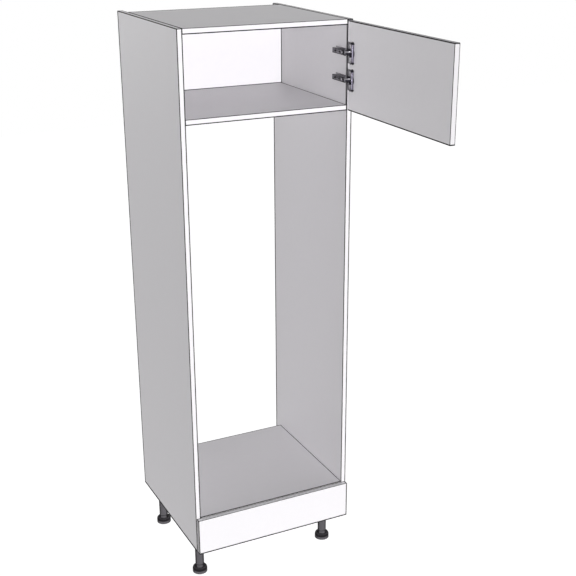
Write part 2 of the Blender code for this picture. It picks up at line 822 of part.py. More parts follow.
def make_plate(name, level, steel, side_panel):
    """The straight plate on the side, with the rail that the arm sits on and two screws in it."""
    plate = add_box(
        name + "_mounting_plate",
        hinge_point(FIT + PLATE_THICKNESS, -PLATE_FRONT, level - PLATE_HEIGHT / 2),
        hinge_point(FIT, -PLATE_REAR, level + PLATE_HEIGHT / 2),
        steel,
        PLATE_ARRIS,
    )
    rail_half = CHANNEL_HALF_HEIGHT - FIT
    rail_top = ARM_TOP - ARM_WALL - FIT
    rail = add_box(
        name + "_plate_rail",
        hinge_point(rail_top, -PLATE_RAIL_FRONT, level - rail_half),
        hinge_point(FIT + PLATE_THICKNESS / 4, -PLATE_RAIL_REAR, level + rail_half),
    )
    join(plate, rail)
    cut(plate, adjuster_hole(name + "_depth_rail_hole",
                             hinge_point(ARM_TOP + FIT, -DEPTH_SCREW_BACK, level)))
    along = Vector((1, 0, 0))
    for suffix, back in (
        ("front", PLATE_SCREW_BACK),
        ("rear", PLATE_SCREW_BACK + PLATE_SCREW_SPACING),
    ):
        seat = hinge_point(2 * FIT + PLATE_THICKNESS, -back, level)
        well = add_cylinder(
            name + "_plate_well_" + suffix,
            SCREW_HEAD_RADIUS + FIT,
            hinge_point(rail_top + OVERRUN, -back, level),
            hinge_point(FIT + PLATE_THICKNESS, -back, level),
            along,
            steps=MEDIUM_STEPS,
        )
        cut(plate, well)
        add_screw(name + "_plate_screw_" + suffix, seat, along, steel)
        pilot = add_pilot(name + "_plate_pilot_" + suffix, seat, along)
        cut(plate, pilot)
        cut(side_panel, pilot)


def make_hinges(steel, axis, door, side_panel):
    for name, level in HINGE_LEVELS.items():
        door_parts = []
        make_cup(name, level, steel, door_parts, door)
        door_parts += make_cup_cover(name, level, steel)
        carry(axis, *door_parts)
        make_links(name, level, steel)
        make_arm(name, level, steel)
        make_plate(name, level, steel, side_panel)


def foot_profile():
    """From the stem's top down to the cup that takes the tube, over the dome to the base."""
    profile = [
        (0, FOOT_FLOOR + STEM_LENGTH),
        (STEM_RADIUS - STEM_CHAMFER, FOOT_FLOOR + STEM_LENGTH),
        (STEM_RADIUS, FOOT_FLOOR + STEM_LENGTH - STEM_CHAMFER),
        (STEM_RADIUS, FOOT_FLOOR),
        (TUBE_RADIUS + FOOT_CLEARANCE, FOOT_FLOOR),
        (TUBE_RADIUS + FOOT_CLEARANCE, FOOT_HEIGHT),
    ]
    for i in range(DOME_STEPS + 1):
        angle = math.pi / 2 * (1 - i / DOME_STEPS)
        profile.append((
            FOOT_DOME_TOP_RADIUS + (FOOT_RADIUS - FOOT_DOME_TOP_RADIUS) * math.cos(angle),
            FOOT_RIM + (FOOT_HEIGHT - FOOT_RIM) * math.sin(angle),
        ))
    profile += [(FOOT_RADIUS, FOOT_CHAMFER), (FOOT_RADIUS - FOOT_CHAMFER, 0), (0, 0)]
    return profile


def make_leg(name, x, y, plastic):
    """One leg: a socket under the bottom panel, a tube, and a foot that screws up and down."""
    top = CARCASS_BOTTOM - FIT
    socket_floor = top - SOCKET_FLOOR
    collar_bottom = socket_floor - SOCKET_COLLAR
    add_turned(
        name + "_socket",
        [
            (0, top),
            (SOCKET_RADIUS, top),
            (SOCKET_RADIUS, top - SOCKET_FLANGE),
            (SOCKET_COLLAR_RADIUS, socket_floor),
            (SOCKET_COLLAR_RADIUS, collar_bottom),
            (TUBE_RADIUS + FIT, collar_bottom),
            (TUBE_RADIUS + FIT, socket_floor),
            (0, socket_floor),
        ],
        (x, y, 0),
        plastic,
        MEDIUM_STEPS,
    )
    bore = TUBE_RADIUS - TUBE_WALL
    nut_bore = STEM_RADIUS + FIT
    nut_top = TUBE_BOTTOM + TUBE_NUT
    add_turned(
        name + "_tube",
        [
            (bore, socket_floor - FIT),
            (TUBE_RADIUS, socket_floor - FIT),
            (TUBE_RADIUS, TUBE_BOTTOM),
            (nut_bore, TUBE_BOTTOM),
            (nut_bore, nut_top),
            (bore, nut_top),
        ],
        (x, y, 0),
        plastic,
        MEDIUM_STEPS,
        closed=True,
    )
    axis = add_axis(name + "_foot_axis", (x, y, 0))
    foot = add_turned(name + "_foot", foot_profile(), (x, y, 0), plastic, MEDIUM_STEPS)
    carry(axis, foot)


def make_legs(plastic):
    for row, y in (
        ("front", CARCASS_FRONT + FRONT_LEG_BACK),
        ("rear", CARCASS_REAR - REAR_LEG_SETBACK),
    ):
        for side, direction in (("left", -1), ("right", 1)):
            make_leg(
                f"{row}_{side}_leg",
                direction * (SIDE_OUTER - LEG_INSET),
                y,
                plastic,
            )


def main():
    clear_scene()
    add_collection(PARTS)
    add_collection(CUTTERS)
    board = add_material("white_melamine_board", (0.83, 0.83, 0.83), 0.45)
    edging = add_material("white_abs_edging", (0.86, 0.86, 0.86), 0.4)
    door_finish = add_material("white_door_board", (0.83, 0.83, 0.83), 0.4)
    timber = add_material("softwood_block", (0.62, 0.46, 0.28), 0.7)
    steel = add_material("nickel_plated_steel", (0.42, 0.41, 0.44), 0.3, 1.0)
    plastic = add_material("black_leg_plastic", (0.045, 0.045, 0.05), 0.5)

    right_side = make_carcass(board, edging)
    make_lower_front(door_finish, timber)
    axis, door = make_door(door_finish)
    make_hinges(steel, axis, door, right_side)
    make_legs(plastic)


main()
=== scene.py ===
import json
import math

import bmesh
import bpy
import numpy as np
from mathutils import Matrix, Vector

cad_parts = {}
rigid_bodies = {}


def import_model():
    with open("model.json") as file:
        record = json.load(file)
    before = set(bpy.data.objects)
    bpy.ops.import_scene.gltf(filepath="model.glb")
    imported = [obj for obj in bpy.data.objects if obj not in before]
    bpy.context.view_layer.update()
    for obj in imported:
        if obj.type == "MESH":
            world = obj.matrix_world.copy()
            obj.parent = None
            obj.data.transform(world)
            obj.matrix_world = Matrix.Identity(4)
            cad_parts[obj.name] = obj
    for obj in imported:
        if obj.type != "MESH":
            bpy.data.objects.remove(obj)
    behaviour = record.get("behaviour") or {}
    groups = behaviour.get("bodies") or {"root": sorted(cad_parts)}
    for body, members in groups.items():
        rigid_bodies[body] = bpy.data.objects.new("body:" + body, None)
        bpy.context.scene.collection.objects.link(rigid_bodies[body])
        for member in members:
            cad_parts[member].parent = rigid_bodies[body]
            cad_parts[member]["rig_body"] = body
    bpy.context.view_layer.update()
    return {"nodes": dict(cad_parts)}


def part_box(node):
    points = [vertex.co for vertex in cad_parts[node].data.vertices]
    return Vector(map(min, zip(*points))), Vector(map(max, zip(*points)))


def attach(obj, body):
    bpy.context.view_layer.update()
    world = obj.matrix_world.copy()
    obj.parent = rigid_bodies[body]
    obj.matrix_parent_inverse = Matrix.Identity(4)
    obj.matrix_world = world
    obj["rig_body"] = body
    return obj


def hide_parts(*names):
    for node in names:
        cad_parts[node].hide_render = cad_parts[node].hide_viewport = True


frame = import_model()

nodes = frame["nodes"]
scene = bpy.context.scene
print("frame loaded:", len(nodes), "nodes")


def linearColour(hexText):  # sRGB hex to linear RGBA
    srgb = np.array([int(hexText[i:i + 2], 16) for i in (1, 3, 5)]) / 255
    linear = np.where(srgb <= 0.04045, srgb / 12.92, ((srgb + 0.055) / 1.055) ** 2.4)
    return (*linear.tolist(), 1.0)


def addNode(tree, kind, sockets=None, **settings):  # a number or colour is set, a socket is linked
    node = tree.nodes.new(kind)
    for name, value in settings.items():
        setattr(node, name, value)
    for key, value in (sockets or {}).items():
        if isinstance(value, bpy.types.NodeSocket):
            tree.links.new(value, node.inputs[key])
        else:
            node.inputs[key].default_value = value
    return node


def calculate(tree, operation, *values, clamped=False):
    return addNode(tree, "ShaderNodeMath", dict(enumerate(values)), operation=operation,
                   use_clamp=clamped).outputs[0]


def calculateVector(tree, operation, *values):
    return addNode(tree, "ShaderNodeVectorMath", dict(enumerate(values)),
                   operation=operation).outputs["Value" if operation == "LENGTH" else "Vector"]


def within(tree, value, low, high):  # 1 for low < value < high
    return calculate(tree, "MULTIPLY", calculate(tree, "GREATER_THAN", value, low),
                     calculate(tree, "LESS_THAN", value, high))


def remap(tree, value, start, end, first=0.0, last=1.0):  # start..end to first..last, clamped
    return addNode(tree, "ShaderNodeMapRange", {
        "Value": value, "From Min": start, "From Max": end,
        "To Min": first, "To Max": last}).outputs[0]


def blend(tree, factor, first, last):  # two colours, each a hex text or a socket
    first, last = (linearColour(each) if isinstance(each, str) else each
                   for each in (first, last))
    return addNode(tree, "ShaderNodeMix", {"Factor": factor, 6: first, 7: last},
                   data_type="RGBA").outputs[2]


def split(tree, vector):  # X, Y and Z
    return addNode(tree, "ShaderNodeSeparateXYZ", {0: vector}).outputs


def noise(tree, place, size, detail):  # size in metres
    return addNode(tree, "ShaderNodeTexNoise", {
        "Vector": place, "Scale": 1 / size, "Detail": detail}).outputs["Fac"]


def objectPlace(tree):
    return addNode(tree, "ShaderNodeTexCoord").outputs["Object"]


def newMaterial(name, shaderValues):
    material = bpy.data.materials.new(name)
    material.use_nodes = True
    tree = material.node_tree
    for socket, value in shaderValues.items():
        tree.nodes["Principled BSDF"].inputs[socket].default_value = value
    return material, tree


def drive(tree, results):  # the shader's sockets by name
    for name, result in results.items():
        tree.links.new(result, tree.nodes["Principled BSDF"].inputs[name])


def bump(tree, height, strength, distance):
    return addNode(tree, "ShaderNodeBump", {
        "Height": height, "Strength": strength, "Distance": distance}).outputs[0]


def dress(nodeName, material):
    mesh = nodes[nodeName].data
    mesh.materials.clear()
    mesh.materials.append(material)


# Boards: melamine-faced chipboard with ABS edging. The photograph draws each arris as a dark
# line about as wide on every face, so each board has its own line widths: the view shortens
# some faces, and a line there is wider.
board = {
    # painted shade: one white melamine, greyer on the panels and the fixed shelf than on the edging
    # and fronts
    "panelFace": "#E3E1E4",
    "shelfFace": "#DDDBDE",
    "deckFace": "#ECEAED",
    "edgingFace": "#F4F2F5",
    "frontFace": "#F2F0F3",
    "doorFace": "#EBE9EC",
    "backFace": "#EBE9EC",
    "panelRoughness": 0.50,
    "edgingRoughness": 0.40,
    "line": "#0C0B0D",
    "lineFade": 0.75,           # where the line starts to fade, as a share of its width
    "lineRoughness": 0.95,
    "mottleSize": 0.020,        # paper clouds
    "mottleDetail": 3.0,
    "mottleDark": 0.975,        # the darkest cloud, as a share of the colour
    "pearlSize": 0.0022,        # drawn coarser than the real texture, which is too fine to show
    "pearlDetail": 2.0,
    "pearlStrength": 0.06,
    "pearlHeight": 0.0005,
    "refraction": 1.5,
    "specularLevel": 0.30,
    "cupboardShade": 0.32,      # painted shade: how much darker the boards are painted at the back of the cupboard
    "cupboardFrom": 0.04,       # the depth where that starts
    "faceSlack": 0.0005,
}
lineWidths = {  # millimetres at the low X, Y and Z arrises, then at the high ones
    "left_side_panel": (3.5, 2.6, 9.0, 3.5, 9.0, 2.6),
    "right_side_panel": (5.0, 2.4, 2.4, 6.0, 8.0, 2.4),
    "top_panel": (4.0, 3.0, 2.4, 4.0, 12.0, 2.4),
    "fixed_shelf": (2.4, 2.0, 2.4, 4.5, 4.0, 2.4),
    "oven_shelf": (2.4, 2.0, 2.4, 2.8, 4.0, 2.4),
    "bottom_panel": (2.4, 2.4, 2.4, 2.4, 2.4, 2.4),
    "cupboard_back": (2.5, 0.5, 2.6, 3.0, 0.5, 2.2),
    "left_side_edging": (2.0, 0.5, 2.4, 4.0, 0.5, 2.4),
    "right_side_edging": (1.8, 0.5, 2.4, 4.2, 0.5, 2.4),
    "top_panel_edging": (0.5, 0.5, 4.0, 3.5, 0.5, 1.6),
    "fixed_shelf_edging": (0.5, 0.5, 3.9, 3.5, 0.5, 1.8),
    "oven_shelf_edging": (0.5, 0.5, 2.4, 0.5, 0.5, 3.0),
    "lower_front_panel": (2.7, 2.0, 5.8, 5.0, 4.0, 1.4),
    "door_panel": (1.2, 2.3, 4.9, 2.8, 0.5, 3.6),
}
greyEdges = {  # axis, from, to and colour of edges in shade
    "lower_front_panel": (0, -0.3100, -0.2978, "#AEACB0"),
    "door_panel": (2, 1.9658, 1.9800, "#77757A"),
    "right_side_edging": (2, 1.9650, 1.9698, "#6A686D"),
}
backOpening = ((-0.282, 0.508, 1.697), (0.282, 0.516, 1.952))  # the part of the back in view


def arrisLine(tree, place, low, high, widths):
    # 1 near an arris of the box low..high: along each axis the distance from the nearer plane
    # is divided by the width there, and the second smallest of the three shares is under 1
    widths = [width / 1000 for width in widths]
    share = calculateVector(
        tree, "MINIMUM",
        calculateVector(tree, "DIVIDE", calculateVector(tree, "SUBTRACT", place, low), widths[:3]),
        calculateVector(tree, "DIVIDE", calculateVector(tree, "SUBTRACT", high, place),
                        widths[3:]))
    x, y, z = split(tree, share)
    greater = calculate(tree, "MAXIMUM", x, y)
    second = calculate(tree, "MAXIMUM", calculate(tree, "MINIMUM", x, y),
                       calculate(tree, "MINIMUM", greater, z))
    return remap(tree, second, board["lineFade"], 1.0, 1.0, 0.0)


def cupboardDepth(tree, place):
    # painted shade: 0 on every face but those in the cupboard, where it grows from 0 in front to 1
    # at the back
    across, depth, height = split(tree, place)
    low, high = backOpening
    between = calculate(tree, "LESS_THAN", calculate(tree, "ABSOLUTE", across),
                        high[0] + board["faceSlack"])
    above = calculate(tree, "GREATER_THAN", height, low[2] - board["faceSlack"])
    inside = calculate(tree, "MULTIPLY", between, above)
    return calculate(tree, "MULTIPLY", inside,
                     remap(tree, depth, board["cupboardFrom"], low[1]))


seam = {  # the gap between the open door and the carcass, and the painted shade beside it and in and round the hinges
    "innerFace": 0.2825,          # just past the inner faces of the side and the open door
    "panelHeights": (1.697, 1.952),
    "gapDepths": (0.0275, 0.0320),  # the painted shadow on the side's inner face fades between these
    "gapTone": "#545257",
    "edgingHeights": (1.680, 1.966),
    "edgeTone": "#D0CED3",        # the side's front edge, in the door's painted shade
    "edgeBesideTone": "#77757A",  # the same painted shade, darker level with a cover
    "besideTone": "#4A484D",      # painted shade on the door between a cover and the gap
    "sideTone": "#E4E1EA",        # the painted ring's lighter tone beside a cover, away from the gap
    # painted shade in the bores, the slots and the ring round a cover
    "hingeTone": "#17141F",
    "hingesMiddle": 1.823,        # halfway between the two hinges, and half their distance apart
    "halfSpacing": 0.043,
    "coverCentre": -0.0125,
    "coverHalfWidth": 0.00975,
    "coverHalfStraight": 0.02425,
    "coverHalfLength": 0.034,
    "ring": (0.0018, 0.0030),     # the painted shade round a cover fades between these distances from it
    "ringHalfSide": 0.02825,      # it is light beside the cover, up to this height
    "boreFloor": 0.2965,
    "boreDepths": (-0.0260, 0.0146),
    "boreHalfHeight": 0.0185,
    "slotHalf": 0.0122,
}


def fromCover(tree, depth, height):
    # metres outside the outline of the nearer cup cover, an upright bar with round ends, and
    # the height above or below that hinge's middle
    apart = calculate(tree, "ABSOLUTE",
                      calculate(tree, "SUBTRACT", height, seam["hingesMiddle"]))
    up = calculate(tree, "ABSOLUTE", calculate(tree, "SUBTRACT", apart, seam["halfSpacing"]))
    past = calculate(tree, "SUBTRACT", up, seam["coverHalfStraight"], clamped=True)
    side = calculate(tree, "SUBTRACT", depth, seam["coverCentre"])
    reach = calculateVector(
        tree, "LENGTH", addNode(tree, "ShaderNodeCombineXYZ", {0: side, 1: past}).outputs[0])
    return calculate(tree, "SUBTRACT", reach, seam["coverHalfWidth"]), up


def doorSeamShade(tree, place, colour):
    # painted shade: darker beside each cover, in a ring round it, in the slot towards the gap and
    # in the bore
    across, depth, height = split(tree, place)
    inner = calculate(tree, "LESS_THAN", across, seam["innerFace"])
    outside, up = fromCover(tree, depth, height)
    towardsGap = calculate(tree, "GREATER_THAN", depth, seam["coverCentre"])
    beside = calculate(tree, "MULTIPLY", towardsGap,
                       calculate(tree, "LESS_THAN", up, seam["coverHalfLength"]))
    beside = calculate(tree, "MULTIPLY", beside, inner)
    colour = blend(tree, beside, colour, seam["besideTone"])
    bore = calculate(tree, "MULTIPLY",
                     within(tree, across, seam["innerFace"], seam["boreFloor"]),
                     within(tree, depth, *seam["boreDepths"]))
    bore = calculate(tree, "MULTIPLY", bore,
                     calculate(tree, "LESS_THAN", up, seam["boreHalfHeight"]))
    colour = blend(tree, bore, colour, seam["hingeTone"])
    slot = calculate(tree, "MULTIPLY", towardsGap,
                     calculate(tree, "LESS_THAN", up, seam["slotHalf"]))
    ring = remap(tree, outside, *seam["ring"], 1.0, 0.0)
    dark = calculate(tree, "MULTIPLY", inner, calculate(tree, "MAXIMUM", ring, slot))
    away = calculate(tree, "MULTIPLY",
                     calculate(tree, "LESS_THAN", depth, seam["coverCentre"]),
                     calculate(tree, "LESS_THAN", up, seam["ringHalfSide"]))
    return blend(tree, dark, colour, blend(tree, away, seam["hingeTone"], seam["sideTone"]))


def panelSeamShade(tree, place, colour):
    # painted shadow on the right side's inner face beside the gap
    across, depth, height = split(tree, place)
    inner = calculate(tree, "LESS_THAN", across, seam["innerFace"])
    behind = calculate(tree, "MULTIPLY", inner, within(tree, height, *seam["panelHeights"]))
    near = calculate(tree, "MULTIPLY", behind, remap(tree, depth, *seam["gapDepths"], 1.0, 0.0))
    return blend(tree, near, colour, seam["gapTone"])


def edgingSeamShade(tree, place, colour):
    # painted shade: darker behind the open door, more so level with the covers and most level with
    # their slots
    depth, height = split(tree, place)[1:]
    up = fromCover(tree, depth, height)[1]
    tone = blend(tree, calculate(tree, "LESS_THAN", up, seam["coverHalfLength"]),
                 seam["edgeTone"], seam["edgeBesideTone"])
    slot = calculate(tree, "LESS_THAN", up, seam["slotHalf"])
    behind = calculate(tree, "SUBTRACT", within(tree, height, *seam["edgingHeights"]), slot,
                       clamped=True)
    return blend(tree, behind, blend(tree, slot, colour, seam["hingeTone"]), tone)


seamShades = {"door_panel": doorSeamShade, "right_side_panel": panelSeamShade, "right_side_edging": edgingSeamShade}


def boardMaterial(name, nodeName, face, roughness):
    # pressed melamine paper: white with a faint cloudiness, and a fine pearl texture that
    # breaks up the sheen
    material, tree = newMaterial(name, {
        "IOR": board["refraction"], "Specular IOR Level": board["specularLevel"]})
    place = objectPlace(tree)
    corners = backOpening if nodeName == "cupboard_back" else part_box(nodeName)
    line = arrisLine(tree, place, *corners, lineWidths[nodeName])
    cloud = noise(tree, place, board["mottleSize"], board["mottleDetail"])
    paper = remap(tree, cloud, 0.0, 1.0, board["mottleDark"], 1.0)
    # painted shade, darker towards the back of the cupboard
    if nodeName in ("left_side_panel", "right_side_panel", "fixed_shelf"):
        paper = calculate(tree, "MULTIPLY_ADD", cupboardDepth(tree, place),
                          -board["cupboardShade"], paper)
    colour = calculateVector(tree, "MULTIPLY", linearColour(face)[:3], paper)
    # painted shade by the open door's gap and round the hinges
    if nodeName in seamShades:
        colour = seamShades[nodeName](tree, place, colour)
    if nodeName in greyEdges:
        axis, low, high, tone = greyEdges[nodeName]
        colour = blend(tree, within(tree, split(tree, place)[axis], low, high), colour, tone)
    pearl = noise(tree, place, board["pearlSize"], board["pearlDetail"])
    drive(tree, {
        "Base Color": blend(tree, line, colour, board["line"]),
        "Roughness": remap(tree, line, 0.0, 1.0, roughness, board["lineRoughness"]),
        "Normal": bump(tree, pearl, board["pearlStrength"], board["pearlHeight"])})
    return material


boardFinishes = {  # by the end of the node's name: material name, face and roughness
    "_edging": ("absEdging_", "edgingFace", "edgingRoughness"),
    "_front_panel": ("frontBoard_", "frontFace", "edgingRoughness"),
    "door_panel": ("frontBoard_", "doorFace", "edgingRoughness"),
    "oven_shelf": ("melamineBoard_", "deckFace", "panelRoughness"),
    "_back": ("whiteHardboard_", "backFace", "panelRoughness"),
    "_panel": ("melamineBoard_", "panelFace", "panelRoughness"),
    "_shelf": ("melamineBoard_", "shelfFace", "panelRoughness"),
}
for nodeName in lineWidths:
    finish = next(boardFinishes[end] for end in boardFinishes if nodeName.endswith(end))
    name, face, roughness = finish
    dress(nodeName, boardMaterial(name + nodeName, nodeName, board[face], board[roughness]))
print("boards dressed")


# Corner blocks: planed softwood, whose grain runs up the block.
block = {
    "earlywood": "#D8BC8E",
    "latewood": "#B98F5C",
    "ringSpacing": 0.0035,
    "ringDistortion": 3.0,
    "ringDetail": 3.0,
    "ringDetailScale": 0.6,
    "grainStretch": 0.08,
    "fibreSize": 0.0006,
    "fibreDetail": 2.0,
    "fibreStrength": 0.25,
    "fibreHeight": 0.0003,
    "roughness": 0.65,
    "refraction": 1.5,
}


def softwoodMaterial():
    # straight planed pine: pale bands between darker late rings, with fine fibres along them
    material, tree = newMaterial("planedSoftwood", {
        "Roughness": block["roughness"], "IOR": block["refraction"]})
    drawn = calculateVector(tree, "MULTIPLY", objectPlace(tree), (1, 1, block["grainStretch"]))
    rings = addNode(tree, "ShaderNodeTexWave", {
        "Vector": drawn, "Scale": 1 / (math.pi * block["ringSpacing"]),
        "Distortion": block["ringDistortion"], "Detail": block["ringDetail"],
        "Detail Scale": block["ringDetailScale"]}, bands_direction="DIAGONAL").outputs["Fac"]
    fibre = noise(tree, drawn, block["fibreSize"], block["fibreDetail"])
    late = calculate(tree, "MULTIPLY", rings, fibre)
    drive(tree, {
        "Base Color": blend(tree, late, block["earlywood"], block["latewood"]),
        "Normal": bump(tree, fibre, block["fibreStrength"], block["fibreHeight"])})
    return material


softwood = softwoodMaterial()
for nodeName in ("left_corner_block", "right_corner_block"):
    dress(nodeName, softwood)
print("blocks dressed")


def surfaceMesh(name, grid, shade=None, sharpAngle=40):
    # a skin over rows of points: the columns run round and close on themselves, and the first
    # and last rows are poles; shade is kept at each point for the material
    rows, columns = grid.shape[:2]
    corner = np.arange(rows * columns).reshape(rows, columns)
    beside = np.roll(corner, -1, axis=1)
    faces = np.stack([corner[:-1], beside[:-1], beside[1:], corner[1:]], axis=-1)
    mesh = bpy.data.meshes.new(name)
    mesh.from_pydata(grid.reshape(-1, 3).tolist(), [], faces.reshape(-1, 4).tolist())
    if shade is not None:
        layer = mesh.attributes.new("shade", "FLOAT", "POINT")
        layer.data.foreach_set("value", np.broadcast_to(shade, (rows, columns)).ravel())
    skin = bmesh.new()
    skin.from_mesh(mesh)
    bmesh.ops.remove_doubles(skin, verts=skin.verts, dist=1e-6)
    bmesh.ops.recalc_face_normals(skin, faces=skin.faces)
    skin.to_mesh(mesh)
    skin.free()
    mesh.shade_smooth()
    mesh.set_sharp_from_angle(angle=math.radians(sharpAngle))
    return mesh


def addPiece(name, mesh, nodeName, slot, *materials):  # stands for one CAD node
    piece = bpy.data.objects.new(name, mesh)
    scene.collection.objects.link(piece)
    for material in materials:
        mesh.materials.append(material)
    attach(piece, nodes[nodeName]["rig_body"])
    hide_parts(nodeName)
    return piece


def alongProfile(points, spacing):
    # points every spacing along the straight runs between the given points, ends kept
    points = np.array(points, float)
    parts = [points[:1]]
    for start, end in zip(points[:-1], points[1:]):
        steps = max(1, int(np.ceil(np.linalg.norm(end - start) / spacing)))
        parts.append(start + (end - start) * np.linspace(0, 1, steps + 1)[1:, None])
    return np.concatenate(parts)


def aroundAngles(columns):  # a row of equally spaced angles, once round
    return np.linspace(0, 2 * np.pi, columns, endpoint=False)[None, :]


def turned(profile, centre, columns, cut):
    # each (radius, height) of the profile, less cut(angle, radius, height), carried once round
    # the vertical through the centre
    angle = aroundAngles(columns)
    radius, height = profile[:, :1], profile[:, 1:2]
    radius = radius - cut(angle, radius, height)
    x = centre[0] + radius * np.cos(angle)
    y = centre[1] + radius * np.sin(angle)
    return np.stack([x, y, np.broadcast_to(height, x.shape)], axis=-1)


def smoothStep(value, start, end):
    share = np.clip((value - start) / (end - start), 0, 1)
    return share * share * (3 - 2 * share)


# Legs: a socket under the bottom panel, a round tube, and a domed foot on a threaded stem.
leg = {
    "columns": 96,
    "turn": -1.97,              # radians; the painted-lit sides of tubes and feet face this way and back
    # the plastic where painted lit, and where painted shaded
    "plain": "#5F5D61",
    "dark": "#1B191C",
    "plainRoughness": 0.5,
    "darkRoughness": 0.75,
    "refraction": 1.49,
    "specularLevel": 0.06,
    "cloudSize": 1 / 130,
    "cloudDetail": 2.0,
    "cloudShade": 0.06,
    "grainSize": 0.0009,        # spark grain, drawn coarser than the real one
    "grainDetail": 1.0,
    "grainStrength": 0.3,
    "grainHeight": 0.0002,
    "fit": 0.0003,
    "skin": 0.0001,             # how near a surface a point counts as on it
}
socket = {
    "radius": 0.030,
    "flange": 0.0035,
    "floor": 0.005,
    "collarRadius": 0.0195,
    "collarHeight": 0.020,
    "edge": 0.0004,
    "flangeEdge": 0.0006,
    "collarEdge": 0.0008,
    "boreEdge": 0.0005,
    "filletOut": 0.002,
    "filletUp": 0.0004,
    "filletDown": 0.0016,
    "rowSpacing": 0.0015,
    "ribs": 12,
    "ribDepth": 0.0008,
    "ribFoot": (0.001, 0.003),  # the hollows fade in between these heights over the bottom
    "ribHead": (-0.005, -0.003),  # and out between these, from the floor
    "ribSkin": (-0.0009, -0.0002),
    "plainShade": 0.75,
    "ribShade": 0.5,
}
tube = {
    "radius": 0.016,
    "bore": 0.013,
    "nutHeight": 0.012,
    "topEdge": 0.0004,
    "bottomEdge": 0.0006,
    "rowSpacing": 0.0010,
    "grooveHeight": 0.0335,
    "grooveDepth": 0.0005,
    "grooveFade": (0.0004, 0.0014),
    "plainShade": 0.95,
    "flankShade": 0.70,
    "lowFlankShade": 0.25,      # less light on the flanks under the groove
    "flankFade": (-0.35, 0.25),
    "topShade": 0.85,           # in the socket's and the bottom panel's shade
    "topFade": (0.099, 0.103),
    "grooveShade": 0.7,
    "grooveShadeFade": (0.0010, 0.0022),
}
foot = {
    "radius": 0.027,
    "rim": 0.014,
    "domeTopRadius": 0.0193,
    "domeRows": 18,
    "height": 0.0235,
    "floor": 0.009,
    "bore": 0.0167,
    "edge": 0.001,
    "mouthEdge": 0.0006,
    "stemRadius": 0.005,
    "stemTop": 0.075,
    "stemEdge": 0.001,
    "stemRowSpacing": 0.001,
    "wellRowSpacing": 0.003,
    "baseRowSpacing": 0.0012,
    "threadPitch": 0.0025,
    "threadDepth": 0.0005,
    "threadRows": 5,            # a pitch
    "threadFoot": (0.002, 0.004),
    "threadHead": (-0.004, -0.002),
    "litFade": (-0.3, 0.5),
    "lowFade": (0.0010, 0.0035),
    "wallFade": (-0.0040, -0.0015),
    "crownFade": (0.0045, -0.0010),  # from the rim and from the top
    "crownInset": 0.0005,
    "darkShade": 0.05,
    "wallShade": (0.45, 0.50),  # everywhere, and more where lit
    "lowShade": 0.70,
    "crownShade": 0.35,
}


def legPlasticMaterial():
    # injection-moulded black plastic with a fine spark-eroded grain; the piece's shade attribute
    # paints light and shade: satin on painted-lit lands, matte black where painted shaded
    material, tree = newMaterial("mouldedBlackPlastic", {
        "IOR": leg["refraction"], "Specular IOR Level": leg["specularLevel"]})
    place = objectPlace(tree)
    shade = addNode(tree, "ShaderNodeAttribute", attribute_name="shade").outputs["Fac"]
    cloud = noise(tree, place, leg["cloudSize"], leg["cloudDetail"])
    worn = remap(tree, cloud, 0.0, 1.0, -leg["cloudShade"], leg["cloudShade"])
    tone = calculate(tree, "ADD", shade, worn, clamped=True)
    grain = noise(tree, place, leg["grainSize"], leg["grainDetail"])
    drive(tree, {
        "Base Color": blend(tree, tone, leg["dark"], leg["plain"]),
        "Roughness": remap(tree, tone, 0.0, 1.0, leg["darkRoughness"], leg["plainRoughness"]),
        "Normal": bump(tree, grain, leg["grainStrength"], leg["grainHeight"])})
    return material


def makeSocket(name, centre, top):
    # a flanged plate over a round collar, turned about the tube's axis; the collar's radius
    # dips between its ribs by a cosine of the angle
    floor, under = top - socket["floor"], top - socket["flange"]
    bottom = floor - socket["collarHeight"]
    bore = tube["radius"] + leg["fit"]
    outer, collar = socket["radius"], socket["collarRadius"]
    profile = alongProfile([
        (0, top), (outer - socket["edge"], top), (outer, top - socket["edge"]),
        (outer, under + socket["flangeEdge"]), (outer - socket["flangeEdge"], under),
        (collar + socket["filletOut"], floor + socket["filletUp"]),
        (collar, floor - socket["filletDown"]), (collar, bottom + socket["collarEdge"]),
        (collar - socket["collarEdge"], bottom), (bore + socket["boreEdge"], bottom),
        (bore, bottom + socket["boreEdge"]), (bore, floor), (0, floor)], socket["rowSpacing"])

    def ribs(angle, radius, height):
        (footStart, footEnd), (headStart, headEnd) = socket["ribFoot"], socket["ribHead"]
        up = smoothStep(height, bottom + footStart, bottom + footEnd) * (
            1 - smoothStep(height, floor + headStart, floor + headEnd))
        skinStart, skinEnd = socket["ribSkin"]
        outside = smoothStep(radius, collar + skinStart, collar + skinEnd) * (
            radius < collar + leg["skin"])
        wave = 0.5 - 0.5 * np.cos(socket["ribs"] * angle)
        return socket["ribDepth"] * wave * up * outside

    grid = turned(profile, centre, leg["columns"], ribs)
    # painted shade in the hollows between the ribs
    hollow = ribs(aroundAngles(leg["columns"]), profile[:, :1], profile[:, 1:])
    shade = socket["plainShade"] - socket["ribShade"] * hollow / socket["ribDepth"]
    return surfaceMesh(name, grid, shade)


